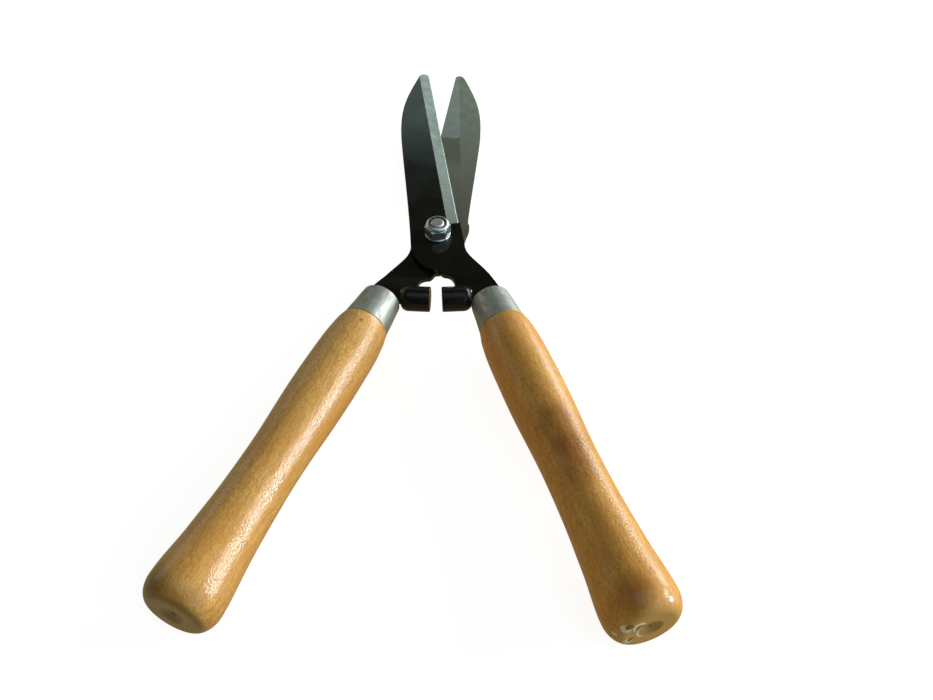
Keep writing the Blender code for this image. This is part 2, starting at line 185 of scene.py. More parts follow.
# Right butt, as x, y, z and radius: dark bruises, and the pale unlacquered wood that shows round them where
# lacquer flaked off, set towards the lit side so that its crescents are also a painted highlight on the chips'
# walls
BRUISES = ((-12.4, 8.6, 242.4, 2.3), (-10.5, -5.0, 242.5, 1.9), (-6.2, 5.0, 242.6, 3.0))
LIT_SIDE_FLAKES = (
    (-13.8, 7.4, 242.3, 3.4),
    (-12.0, -6.3, 242.5, 2.9),
    (-7.2, 6.6, 242.6, 3.7),
    (-18.6, 1.2, 239.4, 1.8),
)
# Left handle: a small knot near the ferrule, and painted shade on the outer side and the end face of the butt
KNOT = (-4.1, -16.7, 35.5)
BUTT_SHADE_PLACE = (16.0, -6.0, 240.0)
BUTT_SHADE_REACH = 24.0 * MM
BUTT_SHADE_BORDER = 12.0 * MM


# ---- Shapes ----


def bezier(start, pull_start, pull_end, end, steps):
    """Points along a cubic curve, without its last point, so that stretches join up."""
    points = []
    for step in range(steps):
        t = step / steps
        weights = ((1 - t) ** 3, 3 * t * (1 - t) ** 2, 3 * t * t * (1 - t), t ** 3)
        corners = (start, pull_start, pull_end, end)
        points.append(tuple(sum(w * c[axis] for w, c in zip(weights, corners)) for axis in (0, 1)))
    return points


def circle(radius, count, phase=0.0):
    turns = [phase + 2 * pi * step / count for step in range(count)]
    return [(radius * cos(turn), radius * sin(turn)) for turn in turns]


def scaled(points):
    return [(x * MM, y * MM) for x, y in points]


def prism(outline, low, high):
    """A closed solid with the outline as its section, from low to high in Z."""
    shape = bmesh.new()
    base = [shape.verts.new((x, y, low)) for x, y in outline]
    floor = shape.faces.new(base)
    grown = bmesh.ops.extrude_face_region(shape, geom=[floor])
    raised = [item for item in grown["geom"] if isinstance(item, bmesh.types.BMVert)]
    bmesh.ops.translate(shape, verts=raised, vec=(0.0, 0.0, high - low))
    return shape


def turned(profile, segments=ROUND):
    """A solid of revolution about Z, from (radius, z) points.

    A profile that starts off the axis closes on itself.
    """
    shape = bmesh.new()
    rings = []
    for radius, z in profile:
        if radius < 1e-7:
            rings.append([shape.verts.new((0.0, 0.0, z))])
        else:
            rings.append([shape.verts.new((x, y, z)) for x, y in circle(radius, segments)])
    pairs = list(zip(rings, rings[1:]))
    if len(rings[0]) > 1:
        pairs.append((rings[-1], rings[0]))
    for lower, upper in pairs:
        for step in range(segments):
            following = (step + 1) % segments
            if len(lower) == 1:
                shape.faces.new((lower[0], upper[step], upper[following]))
            elif len(upper) == 1:
                shape.faces.new((lower[step], lower[following], upper[0]))
            else:
                shape.faces.new((lower[step], lower[following], upper[following], upper[step]))
    return shape


def rounded(corner_in, corner, corner_out, radius, steps=4):
    """Points of a small fillet where the profile turns at a corner."""
    before = (Vector(corner_in) - Vector(corner)).normalized()
    after = (Vector(corner_out) - Vector(corner)).normalized()
    start = Vector(corner) + before * radius
    end = Vector(corner) + after * radius
    middle = Vector(corner)
    points = []
    for step in range(steps + 1):
        t = step / steps
        point = start * (1 - t) ** 2 + middle * 2 * t * (1 - t) + end * t * t
        points.append(tuple(point))
    return points


def soften(profile, radius):
    """The profile with every corner filleted, apart from its two ends."""
    points = [profile[0]]
    for before, corner, after in zip(profile, profile[1:], profile[2:]):
        points += rounded(before, corner, after, radius)
    points.append(profile[-1])
    return points


def solid(name, shape, sharp=35.0):
    """A mesh object from a bmesh, smooth with sharp edges over the given angle."""
    bmesh.ops.recalc_face_normals(shape, faces=shape.faces)
    mesh = bpy.data.meshes.new(name)
    shape.to_mesh(mesh)
    shape.free()
    mesh.shade_smooth()
    mesh.set_sharp_from_angle(angle=radians(sharp))
    made = bpy.data.objects.new(name, mesh)
    bpy.context.scene.collection.objects.link(made)
    return made


def combined(target, shape, operation="DIFFERENCE"):
    """Applies one exact Boolean of a bmesh to an object's mesh."""
    other = solid(target.name + "_tool", shape)
    step = target.modifiers.new("combine", "BOOLEAN")
    step.operation = operation
    step.solver = "EXACT"
    step.object = other
    applied(target)
    bpy.data.objects.remove(other, do_unlink=True)
    return target


def applied(target):
    """Replaces an object's mesh by what its modifiers make."""
    bpy.context.view_layer.update()
    graph = bpy.context.evaluated_depsgraph_get()
    mesh = bpy.data.meshes.new_from_object(target.evaluated_get(graph))
    target.modifiers.clear()
    old = target.data
    target.data = mesh
    bpy.data.meshes.remove(old)
    mesh.name = target.name
    return target


def round_rims(target, width, chosen, rim_slot=-1):
    """Rounds the edges that chosen(edge) accepts, with a small bevel, and gives them a material slot."""
    mesh = target.data
    shape = bmesh.new()
    shape.from_mesh(mesh)
    layers = shape.edges.layers.float
    weights = layers.get("bevel_weight_edge") or layers.new("bevel_weight_edge")
    for edge in shape.edges:
        edge[weights] = 1.0 if len(edge.link_faces) == 2 and chosen(edge) else 0.0
    shape.to_mesh(mesh)
    shape.free()
    step = target.modifiers.new("rims", "BEVEL")
    step.limit_method = "WEIGHT"
    step.width = width
    step.segments = 2
    step.material = rim_slot
    step.use_clamp_overlap = True
    step.harden_normals = False
    applied(target)
    target.data.shade_smooth()
    target.data.set_sharp_from_angle(angle=radians(50.0))
    return target


def on_ramp(edge):
    """Whether an edge belongs to the joggle's ramp, which is shaded flat right up to its border."""
    for face in edge.link_faces:
        tilt = acos(min(abs(face.normal.z), 1.0))
        if RAMP_TILT[0] < tilt < RAMP_TILT[1] and face.calc_area() > RAMP_AREA:
            return True
    return False


def flat_faces(target, hard=()):
    """Makes edges sharp where a slot in hard meets another and round the ramp, and shades large faces flat."""
    shape = bmesh.new()
    shape.from_mesh(target.data)
    for edge in shape.edges:
        slots = {face.material_index for face in edge.link_faces}
        if (len(slots) > 1 and slots & set(hard)) or on_ramp(edge):
            edge.smooth = False
    shape.to_mesh(target.data)
    shape.free()
    step = target.modifiers.new("weighted", "WEIGHTED_NORMAL")
    step.mode = "FACE_AREA"
    step.keep_sharp = True
    return applied(target)


def finished(made, place, body, nodes, materials=()):
    """Puts a piece in place, on its body, in its finish, instead of its CAD nodes."""
    for finish in materials:
        made.data.materials.append(finish)
    made.matrix_world = place
    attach(made, body)
    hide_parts(*nodes)
    return made


# ---- Materials ----


def new_material(name):
    """A material with one Principled shader. Returns it, its tree and the shader."""
    made = bpy.data.materials.new(name)
    made.use_nodes = True
    tree = made.node_tree
    tree.nodes.clear()
    out = tree.nodes.new("ShaderNodeOutputMaterial")
    shader = tree.nodes.new("ShaderNodeBsdfPrincipled")
    tree.links.new(shader.outputs["BSDF"], out.inputs["Surface"])
    return made, tree, shader


def fill(tree, node, inputs):
    """Sets a node's inputs by name or number, linking those given as another node's output."""
    for key, value in inputs.items():
        if isinstance(value, bpy.types.NodeSocket):
            tree.links.new(value, node.inputs[key])
        else:
            node.inputs[key].default_value = value
    return node


def place_of(tree, scale=(1.0, 1.0, 1.0)):
    """Positions on the piece in its own frame, scaled."""
    coords = tree.nodes.new("ShaderNodeTexCoord")
    mapping = tree.nodes.new("ShaderNodeMapping")
    fill(tree, mapping, {"Vector": coords.outputs["Object"], "Scale": scale})
    return mapping.outputs["Vector"]


def noisy(tree, scale, stretch=(1.0, 1.0, 1.0), detail=4.0, roughness=0.55, distortion=0.0):
    """Noise from 0 to 1 on the piece, with features 1/scale metres across."""
    node = tree.nodes.new("ShaderNodeTexNoise")
    settings = {"Vector": place_of(tree, stretch), "Scale": scale, "Detail": detail}
    settings.update({"Roughness": roughness, "Distortion": distortion})
    return fill(tree, node, settings).outputs["Fac"]


def ranged(tree, value, low, high, out_low=0.0, out_high=1.0):
    """Maps value from low..high to out_low..out_high, easing in and out, clamped."""
    node = tree.nodes.new("ShaderNodeMapRange")
    node.interpolation_type = "SMOOTHSTEP"
    inputs = {"Value": value, "From Min": low, "From Max": high, "To Min": out_low, "To Max": out_high}
    return fill(tree, node, inputs).outputs["Result"]


def maths(tree, operation, first, second=0.0):
    node = tree.nodes.new("ShaderNodeMath")
    node.operation = operation
    return fill(tree, node, {0: first, 1: second}).outputs["Value"]


def times(tree, first, second):
    return maths(tree, "MULTIPLY", first, second)


def mixed(tree, share, first, second, blend="MIX"):
    """A colour between two colours."""
    node = tree.nodes.new("ShaderNodeMix")
    node.data_type = "RGBA"
    node.blend_type = blend
    full = [value if isinstance(value, bpy.types.NodeSocket) else (*value, 1.0) for value in (first, second)]
    return fill(tree, node, {0: share, 6: full[0], 7: full[1]}).outputs[2]


def bumped(tree, height, distance, strength=1.0, normal=None):
    node = tree.nodes.new("ShaderNodeBump")
    inputs = {"Height": height, "Distance": distance, "Strength": strength}
    if normal is not None:
        inputs["Normal"] = normal
    return fill(tree, node, inputs).outputs["Normal"]


def axis_value(tree, axis):
    split = tree.nodes.new("ShaderNodeSeparateXYZ")
    return fill(tree, split, {"Vector": place_of(tree)}).outputs[axis]


def coated_steel():
    """Black baked paint over forged steel: faint orange peel, dust and rub marks."""
    made, tree, shader = new_material("black_paint")
    cloudy = noisy(tree, 60.0, detail=5.0)
    specks = noisy(tree, 2600.0, detail=2.0)
    dust = ranged(tree, specks, 0.70, 0.78)
    rubs = ranged(tree, noisy(tree, 900.0, (1.0, 0.05, 1.0), 3.0), 0.62, 0.75)
    colour = mixed(tree, cloudy, (0.0030, 0.0034, 0.0022), (0.0055, 0.0062, 0.0045))
    colour = mixed(tree, times(tree, dust, 0.10), colour, (0.16, 0.16, 0.14))
    rough = ranged(tree, cloudy, 0.3, 0.7, 0.09, 0.15)
    rough = maths(tree, "ADD", rough, times(tree, rubs, 0.08))
    peel = noisy(tree, 700.0, detail=3.0)
    fill(tree, shader, {"Base Color": colour, "Roughness": rough, "Normal": bumped(tree, peel, 0.00004, 0.35)})
    shader.inputs["IOR"].default_value = 1.52
    return made


def worn_rim():
    """The painted plate's rounded rims, with the paint thinned by wear in places."""
    made, tree, shader = new_material("black_paint_rim")
    wear = ranged(tree, noisy(tree, 220.0, detail=6.0, roughness=0.7), 0.60, 0.72)
    colour = mixed(tree, times(tree, wear, 0.45), (0.012, 0.014, 0.013), (0.22, 0.22, 0.20))
    rough = ranged(tree, wear, 0.0, 1.0, 0.30, 0.45)
    peel = noisy(tree, 900.0, detail=3.0)
    fill(tree, shader, {"Base Color": colour, "Roughness": rough, "Normal": bumped(tree, peel, 0.00003, 0.4)})
    return made


def ground_steel(name, colour_low, colour_high, rough_low, rough_high, stretch, second_pass=False):
    """Ground steel with fine grinding lines, which run along the axis where stretch is small."""
    made, tree, shader = new_material(name)
    lines = noisy(tree, 2200.0, stretch, 3.0, 0.6)
    broad = noisy(tree, 45.0, (1.0, 0.35, 1.0), 4.0)
    film = noisy(tree, 130.0, detail=5.0, roughness=0.6)
    share = maths(tree, "ADD", times(tree, lines, 0.45), times(tree, broad, 0.55))
    colour = mixed(tree, ranged(tree, share, 0.3, 0.7), colour_low, colour_high)
    stains = ranged(tree, film, 0.66, 0.76)
    colour = mixed(tree, times(tree, stains, 0.05), colour, (0.16, 0.14, 0.11))
    if second_pass:
        lean = times(tree, maths(tree, "SUBTRACT", axis_value(tree, "Y"), SECOND_PASS_Y), SECOND_PASS_LEAN)
        from_line = maths(tree, "SUBTRACT", axis_value(tree, "X"), lean)
        polished = ranged(tree, from_line, *SECOND_PASS_BORDER)
        # Darker and browner within a ragged reach of the pivot, fading out nearest it; bright beyond that reach
        out = distance_from(tree, (0.0, 0.0, 0.0))
        ragged = maths(tree, "ADD", out, times(tree, noisy(tree, 260.0, detail=3.0), BROWN_BAND_RAGGEDNESS))
        past_brown_band = ranged(tree, ragged, *(BROWN_BAND_REACH + step for step in BROWN_BAND_BORDER))
        clear = times(tree, polished, past_brown_band)
        brown_band = times(tree, polished, maths(tree, "SUBTRACT", 1.0, past_brown_band))
        fading = ranged(tree, out, *(BROWN_BAND_REACH + step for step in BROWN_BAND_FADE))
        colour = mixed(tree, times(tree, clear, 0.5), colour, (0.46, 0.475, 0.465))
        colour = mixed(tree, times(tree, brown_band, fading), colour, (0.25, 0.225, 0.17))
    rough = ranged(tree, film, 0.3, 0.7, rough_low, rough_high)
    fill(tree, shader, {"Base Color": colour, "Roughness": rough, "Normal": bumped(tree, lines, 0.00002, 0.25)})
    shader.inputs["Metallic"].default_value = 1.0
    return made


def zinc_plate():
    """Bright zinc plating, a little uneven and finely scratched."""
    made, tree, shader = new_material("bright_zinc")
    blotch = noisy(tree, 420.0, detail=5.0)
    scratches = noisy(tree, 2400.0, (1.0, 0.12, 1.0), 2.0)
    colour = mixed(tree, ranged(tree, blotch, 0.35, 0.7), (0.76, 0.86, 0.90), (0.60, 0.69, 0.72))
    rough = ranged(tree, blotch, 0.3, 0.75, 0.26, 0.40)
    fill(tree, shader, {"Base Color": colour, "Roughness": rough, "Normal": bumped(tree, scratches, 0.00002, 0.2)})
    shader.inputs["Metallic"].default_value = 1.0
    return made


def bolt_end_zinc():
    """The bolt's shank and end: duller zinc with the thread's oil in it."""
    made, tree, shader = new_material("dull_zinc")
    blotch = noisy(tree, 900.0, detail=6.0, roughness=0.65)
    colour = mixed(tree, ranged(tree, blotch, 0.35, 0.7), (0.66, 0.67, 0.63), (0.44, 0.45, 0.41))
    rough = ranged(tree, blotch, 0.3, 0.7, 0.42, 0.58)
    fill(tree, shader, {"Base Color": colour, "Roughness": rough, "Normal": bumped(tree, blotch, 0.0001, 0.3)})
    shader.inputs["Metallic"].default_value = 1.0
    return made


def ferrule_plate():
    """Dull drawn steel sheet, streaked lengthwise, with brown grime and shallow dents."""
    made, tree, shader = new_material("drawn_steel")
    streaks = noisy(tree, 620.0, (1.0, 1.0, 0.10), 4.0, 0.65, 0.3)
    clouds = noisy(tree, 150.0, (1.0, 1.0, 0.6), 4.0, 0.55, 1.2)
    grime = ranged(tree, noisy(tree, 900.0, (1.0, 1.0, 0.4), 4.0, 0.6), 0.60, 0.76)
    share = maths(tree, "ADD", times(tree, streaks, 0.5), times(tree, clouds, 0.5))
    colour = mixed(tree, ranged(tree, share, 0.38, 0.62), (0.34, 0.35, 0.30), (0.44, 0.49, 0.475))
    colour = mixed(tree, times(tree, grime, 0.55), colour, (0.34, 0.22, 0.18))
    rough = ranged(tree, share, 0.35, 0.65, 0.60, 0.46)
    dents = noisy(tree, 110.0, (1.0, 1.0, 0.8), 1.0)
    normal = bumped(tree, dents, 0.0010, 0.5)
    normal = bumped(tree, streaks, 0.00012, 0.5, normal)
    fill(tree, shader, {"Base Color": colour, "Roughness": rough, "Normal": normal})
    shader.inputs["Metallic"].default_value = 0.8
    return made


def lacquered_wood(name, lacquer, chips):
    """Turned wood under clear lacquer: lengthwise grain, faint rings, pores, pits and a dull end face.

    lacquer is the coat's weight. With chips it is the right handle's yellower wood, with hands' dark patches,
    painted shade where the grip flares into the butt and a flaked butt with painted highlights; without, the left
    handle's, with its knot and painted shade on its butt.
    """
    made, tree, shader = new_material(name)
    fine = noisy(tree, 850.0, (1.0, 1.0, 0.45), 4.0, 0.75)
    fibre = noisy(tree, 380.0, (1.0, 1.0, 0.16), 5.0, 0.65, 0.6)
    broad = noisy(tree, 30.0, (1.0, 1.0, 0.55), 3.0, 0.5, 0.5)
    share = maths(tree, "ADD", times(tree, fine, 0.6), times(tree, fibre, 0.4))
    colour = mixed(tree, ranged(tree, share, 0.38, 0.62), (0.56, 0.255, 0.040), (0.82, 0.45, 0.120))
    warm = ranged(tree, broad, 0.40, 0.66)
    colour = mixed(tree, times(tree, warm, 0.45), colour, (0.66, 0.28, 0.036))
    rings = tree.nodes.new("ShaderNodeTexWave")
    rings.wave_type = "BANDS"
    rings.bands_direction = "X"
    fill(tree, rings, {"Vector": place_of(tree, (1.0, 0.7, 0.10)), "Scale": 55.0, "Distortion": 7.0})
    fill(tree, rings, {"Detail": 3.0, "Detail Scale": 1.6, "Detail Roughness": 0.55})
    veins = times(tree, ranged(tree, rings.outputs["Fac"], 0.55, 1.0), 0.10)
    colour = mixed(tree, veins, colour, (0.50, 0.20, 0.035))
    pores = ranged(tree, noisy(tree, 1500.0, (1.0, 1.0, 0.16), 2.0), 0.66, 0.74)
    colour = mixed(tree, times(tree, pores, 0.5), colour, (0.28, 0.11, 0.020))
    pits = tree.nodes.new("ShaderNodeTexVoronoi")
    fill(tree, pits, {"Vector": place_of(tree, (1.0, 1.0, 0.7)), "Scale": 55.0, "Randomness": 1.0})
    pit = ranged(tree, pits.outputs["Distance"], 0.025, 0.045, 1.0, 0.0)
    colour = mixed(tree, times(tree, pit, 0.75), colour, (0.10, 0.045, 0.015))
    along = axis_value(tree, "Z")
    end = ranged(tree, along, *END_GRAIN)
    end_grain = mixed(tree, noisy(tree, 1900.0, detail=4.0), (0.48, 0.27, 0.080), (0.74, 0.47, 0.170))
    colour = mixed(tree, times(tree, end, 0.85), colour, end_grain)
    # painted shade: the wood inside the lathe centre's hollow and its hole is darkened
    dish_shade = ranged(tree, distance_from(tree, (0.0, 0.0, HANDLE_END)), DISH_RADIUS, DISH_RADIUS - 1.2 * MM)
    colour = mixed(tree, times(tree, dish_shade, 0.55), colour, (0.22, 0.15, 0.055))
    rough = ranged(tree, fibre, 0.3, 0.7, 0.46, 0.58)
    waves = noisy(tree, 130.0, (1.0, 1.0, 0.7), 2.0, 0.5)
    ripple = noisy(tree, 850.0, (1.0, 1.0, 0.8), 2.0, 0.6)
    coat = bumped(tree, waves, 0.0006, 0.25)
    smoothed = ranged(tree, along, *RIPPLE_FADE, 0.75, 0.20 if chips else 0.65)
    coat = bumped(tree, ripple, 0.00036, smoothed, coat)
    coat = bumped(tree, maths(tree, "ADD", fine, times(tree, pit, -3.0)), 0.00004, 0.5, coat)
    if chips:
        colour = mixed(tree, 1.0, colour, (1.0, 0.94, 0.70), "MULTIPLY")
        patch_noise = ranged(tree, noisy(tree, 160.0, (1.0, 1.0, 0.4), 4.0), 0.36, 0.60, 0.7, 1.0)
        # Hands' dark patches on the grip; the last, where the grip flares into the butt, is painted shade
        for place, reach, strength in HAND_WEAR_AND_SHADE_PATCHES:
            out = distance_from(tree, Vector(place) * MM)
            wear_and_shade = ranged(tree, out, reach * MM, 2.0 * MM, 0.0, strength)
            colour = mixed(tree, times(tree, wear_and_shade, patch_noise), colour, (0.33, 0.105, 0.010))
        colour, coat = chipped(tree, colour, coat)
    else:
        knot = ranged(tree, distance_from(tree, Vector(KNOT) * MM), 1.3 * MM, 0.6 * MM)
        colour = mixed(tree, times(tree, knot, 0.7), colour, (0.16, 0.06, 0.015))
        # painted shade: the butt's outer side, away from the lights, and its whole end face are darkened
        out = distance_from(tree, Vector(BUTT_SHADE_PLACE) * MM)
        butt_shade = ranged(tree, out, BUTT_SHADE_REACH, BUTT_SHADE_REACH - BUTT_SHADE_BORDER)
        butt_shade = maths(tree, "MAXIMUM", butt_shade, times(tree, end, 0.9))
        colour = mixed(tree, times(tree, butt_shade, 0.75), colour, (0.14, 0.075, 0.008))
    fill(tree, shader, {"Base Color": colour, "Roughness": rough, "Normal": coat, "Coat Normal": coat})
    shader.inputs["Coat Weight"].default_value = lacquer
    shader.inputs["Coat Roughness"].default_value = 0.05
    shader.inputs["Coat IOR"].default_value = 1.5
    return made


def spots(tree, places, raggedness):
    """1 inside any of the given round places and 0 outside, with ragged borders."""
    wander = times(tree, maths(tree, "SUBTRACT", noisy(tree, 420.0, detail=3.0), 0.5), raggedness)
    covered = None
    for x, y, z, radius in places:
        reach = maths(tree, "ADD", distance_from(tree, (x * MM, y * MM, z * MM)), wander)
        inside = ranged(tree, reach, (radius + 0.3) * MM, (radius - 0.5) * MM)
        covered = inside if covered is None else maths(tree, "MAXIMUM", covered, inside)
    return covered


def distance_from(tree, point):
    node = tree.nodes.new("ShaderNodeVectorMath")
    node.operation = "DISTANCE"
    return fill(tree, node, {0: place_of(tree), 1: point}).outputs["Value"]


def chipped(tree, colour, coat):
    """Flaked lacquer on one side of the butt: dark bruises, pale unlacquered wood whose crescents on the lit side
    are also a painted highlight, and a pale arc, a painted highlight, on the left of the centre mark's rim.
    """
    bruise = spots(tree, BRUISES, 2.6 * MM)
    bare_and_lit = times(tree, spots(tree, LIT_SIDE_FLAKES, 5.0 * MM), maths(tree, "SUBTRACT", 1.0, bruise))
    out = distance_from(tree, (0.0, 0.0, HANDLE_END))
    # painted highlight: a pale arc along the centre mark's rim, on its left side only
    from_rim = maths(tree, "ABSOLUTE", maths(tree, "SUBTRACT", out, DISH_RADIUS))
    rim = ranged(tree, from_rim, 0.75 * MM, 0.3 * MM)
    rim = times(tree, rim, ranged(tree, axis_value(tree, "X"), -3.0 * MM, -5.5 * MM))
    colour = mixed(tree, times(tree, bruise, 0.75), colour, (0.13, 0.09, 0.035))
    # painted highlight: the flakes' pale crescents on the lit side, and the pale arc on the centre mark's rim
    colour = mixed(tree, maths(tree, "MAXIMUM", bare_and_lit, times(tree, rim, 0.7)), colour, (0.88, 0.84, 0.54))
    return colour, bumped(tree, bare_and_lit, 0.0004, 0.8, coat)


def black_rubber():
    """Moulded rubber, smooth and a little shiny, with fine dust."""
    made, tree, shader = new_material("moulded_rubber")
    cloudy = noisy(tree, 300.0, detail=4.0)
    dust = ranged(tree, noisy(tree, 2300.0, detail=2.0), 0.66, 0.76)
    colour = mixed(tree, times(tree, dust, 0.12), (0.0045, 0.0045, 0.0045), (0.08, 0.08, 0.07))
    rough = ranged(tree, cloudy, 0.3, 0.7, 0.24, 0.34)
    fill(tree, shader, {"Base Color": colour, "Roughness": rough, "Normal": bumped(tree, cloudy, 0.0002, 0.25)})
    shader.inputs["IOR"].default_value = 1.38
    return made


def dark_nylon():
    """The locking ring's dyed plastic, slightly mottled."""
    made, tree, shader = new_material("locking_nylon")
    mottled = noisy(tree, 1500.0, detail=3.0)
    colour = mixed(tree, mottled, (0.010, 0.011, 0.016), (0.030, 0.032, 0.040))
    rough = ranged(tree, mottled, 0.3, 0.7, 0.42, 0.58)
    fill(tree, shader, {"Base Color": colour, "Roughness": rough, "Normal": bumped(tree, mottled, 0.00005, 0.3)})
    return made


# ---- Blades ----


def handle_axis_point(side, along, across):
    """A point of the blade's plane, given along and across the handle from the ferrule's front rim."""
    front, angle = HANDLE_SEATS[side]
    x = front.x + along * sin(angle) + across * cos(angle)
    y = front.y - along * cos(angle) + across * sin(angle)
    return (x, y)


def blade_outline(side):
    """Cutting edge, tip, back, hub, notch, lug, tang and outer arm, as one closed outline."""
    hub = HUB_SIDES[side]
    points = [EDGE_LOW, EDGE_HIGH]
    points += bezier((0.3, 196.6), (-1.2, 198.6), (-4.6, 198.6), (-6.9, 193.1), 12)
    points += bezier((-6.9, 193.1), (-18.6, 163.2), (-23.5, 148.0), (-23.2, 112.0), 34)
    if side == "right":
        points += bezier((-23.2, 112.0), (-22.2, 77.0), (-19.3, 32.0), (hub, -7.0), 20)
    else:
        points += bezier((-23.2, 112.0), (-22.2, 77.0), (-20.0, 42.0), (-19.7, 19.0), 16)
        points += bezier((-19.7, 19.0), (-19.8, 15.5), (-21.1, 15.5), (-21.1, 12.0), 10)
        points += bezier((-21.1, 12.0), (-21.1, 6.5), (-18.4, 2.0), (hub, -7.0), 12)
    points += bezier((hub, -7.0), (-19.6, -22.8), (-9.0, -35.1), (-2.2, -35.1), 22)
    points += bezier((-2.2, -35.1), (0.1, -35.1), (-0.3, -39.8), (3.2, -40.6), 12)
    points += bezier((3.2, -40.6), (6.4, -41.0), (9.2, -42.6), (9.4, -50.4), 14)
    outline = scaled(points)
    recess_top = BUFFER_Y + BUFFER_RADIUS + 0.5 * MM
    outline += [(9.4 * MM, recess_top), (ARM_INNER, recess_top)]
    outline += lug_outline() + tang_outline(side)
    shoulder_x, shoulder_y = handle_axis_point(side, -GAP, SHOULDER_HALF_WIDTH)
    corner = (shoulder_x / MM, shoulder_y / MM)
    outer = bezier(corner, (corner[0] - 3.4, corner[1] + 8.2), (31.5, -38.3), (25.2, -29.3), 14)[1:]
    outer += bezier((25.2, -29.3), (21.6, -23.6), (17.9, -19.3), (17.9, -11.8), 14)
    outer += bezier((17.9, -11.8), (17.9, -7.0), (17.0, -2.0), (16.1, EDGE_LOW[1]), 6)
    outer.append((16.1, EDGE_LOW[1]))
    return outline + scaled(outer)


def lug_outline():
    """The finger that the rubber stop is pushed over."""
    chamfer = 1.0 * MM
    upper = BUFFER_Y + LUG_HALF_WIDTH
    lower = BUFFER_Y - LUG_HALF_WIDTH
    tip = [(LUG_TIP + chamfer, upper), (LUG_TIP, upper - chamfer)]
    tip += [(LUG_TIP, lower + chamfer), (LUG_TIP + chamfer, lower)]
    return [(ARM_INNER, upper)] + tip + [(ARM_INNER, lower)]


def tang_outline(side):
    """The shoulder at the ferrule's mouth and the tang in the handle."""
    stations = (
        (-GAP, -SHOULDER_HALF_WIDTH),
        (-GAP, -TANG_HALF_WIDTH),
        (TANG_LENGTH, -TANG_END_HALF_WIDTH),
        (TANG_LENGTH + 5.0 * MM, 0.0),
        (TANG_LENGTH, TANG_END_HALF_WIDTH),
        (-GAP, TANG_HALF_WIDTH),
        (-GAP, SHOULDER_HALF_WIDTH),
    )
    return [handle_axis_point(side, along, across) for along, across in stations]


def joggle_height(y):
    """A straight ramp down across the arm."""
    share = min(max((JOGGLE_START - y) / (JOGGLE_START - JOGGLE_END), 0.0), 1.0)
    return -(MATING_GAP + PLATE / 2) * share


def slice_at(shape, y):
    """Cuts a line of edges across the shape."""
    everything = shape.verts[:] + shape.edges[:] + shape.faces[:]
    bmesh.ops.bisect_plane(shape, geom=everything, dist=1e-7, plane_co=(0, y, 0), plane_no=(0, 1, 0))


def wedge(slope, land, above, length):
    """A long wedge that lies along +Y and grinds a slope down to the edge at x = 0."""
    outside = 4.0 * MM
    reach = (above - land) / slope
    section = ((-reach, above), (outside, land - outside * slope), (outside, above))
    shape = bmesh.new()
    near = [shape.verts.new((x, 0.0, z)) for x, z in section]
    far = [shape.verts.new((x, length, z)) for x, z in section]
    shape.faces.new(near)
    shape.faces.new(far[::-1])
    for step in range(3):
        following = (step + 1) % 3
        shape.faces.new((near[step], far[step], far[following], near[following]))
    return shape


def blade(side, name, node, coats):
    """One half's forging: ground bevel with a honed edge, ground mating face, painted elsewhere."""
    shape = prism(blade_outline(side), MATING_GAP, MATING_GAP + PLATE)
    for y in (JOGGLE_START, JOGGLE_END, GROUND_END):
        slice_at(shape, y)
    for vert in shape.verts:
        vert.co.z += joggle_height(vert.co.y)
    made = solid(name, shape)
    edge = Vector((EDGE_HIGH[0] - EDGE_LOW[0], EDGE_HIGH[1] - EDGE_LOW[1])) * MM
    tilt = atan2(-edge.x, edge.y)
    turn = Matrix.Translation((EDGE_LOW[0] * MM, EDGE_LOW[1] * MM, 0.0)) @ Matrix.Rotation(tilt, 4, "Z")
    top = MATING_GAP + PLATE
    slope = (PLATE - EDGE_LAND) / BEVEL_WIDTH
    for steepness, land in ((slope, MATING_GAP + EDGE_LAND), (HONED_SLOPE, MATING_GAP + HONED_LAND)):
        cutter = wedge(steepness, land, top + 2.0 * MM, edge.length + 15.0 * MM)
        bmesh.ops.transform(cutter, matrix=turn, verts=cutter.verts)
        combined(made, cutter)
    combined(made, prism(circle(BOLT_RADIUS + GAP, ROUND), -PLATE, 3 * PLATE))
    for coat in coats:
        made.data.materials.append(coat)
    across = Vector((cos(tilt), sin(tilt), 0.0))
    for face in made.data.polygons:
        face.material_index = blade_finish(face, across)
    round_rims(made, RIM, lambda rim: blade_rim(rim, across), rim_slot=1)
    flat_faces(made, (2, 3, 4))
    place, body = HALVES[side]
    return finished(made, place, body, [node])


def blade_finish(face, across):
    """0 paint, 2 ground bevel, 3 ground mating face, 4 honed edge."""
    normal = face.normal
    lean = normal.dot(across)
    if face.center.y > EDGE_LOW[1] * MM and normal.z > 0.5 and lean > 0.5:
        return 4
    if face.center.y > EDGE_LOW[1] * MM and normal.z > 0.9 and lean > 0.2:
        return 2
    if normal.z < -0.99 and face.center.y > GROUND_END:
        return 3
    return 0


def blade_rim(rim, across):
    """The painted plate's sharp corners, apart from the bore and anything ground."""
    faces = rim.link_faces
    if faces[0].normal.angle(faces[1].normal, 0.0) < radians(50.0):
        return False
    middle = (rim.verts[0].co + rim.verts[1].co) / 2
    if middle.xy.length < BOLT_RADIUS + 1.0 * MM:
        return False
    if any(face.material_index in (2, 4) for face in faces):
        return False
    if all(abs(face.normal.z) < 0.5 for face in faces):
        return False
    return not (middle.y > EDGE_LOW[1] * MM and any(face.normal.dot(across) > 0.9 for face in faces))


# ---- Pivot ----


